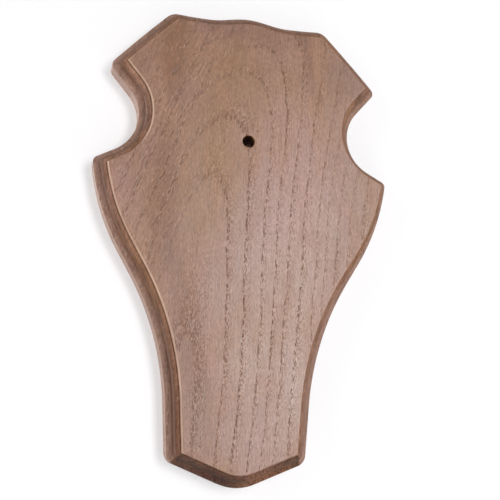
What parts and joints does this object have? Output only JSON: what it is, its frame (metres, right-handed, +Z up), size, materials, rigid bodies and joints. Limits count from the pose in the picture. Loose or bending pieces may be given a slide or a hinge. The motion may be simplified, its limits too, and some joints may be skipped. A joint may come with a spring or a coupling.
{
  "type": "antler mounting plaque",
  "caption": "Shield-shaped wooden board with notched sides, a tapering foot and an ogee-moulded edge, drilled to carry a set of antlers on a wall.",
  "frame": {"origin": "middle of the flat back, where the board bears on the wall", "axes": "+X across the board to the viewer's right, +Y from the front into the wall, +Z up the board"},
  "size_m": [0.121, 0.0141, 0.19],
  "materials": {
    "stained_oak": "brown-stained open-pored oak with a thin satin lacquer, darker in the moulding"
  },
  "bodies": {
    "root": {"plaque": "stained_oak"}
  },
  "joints": []
}
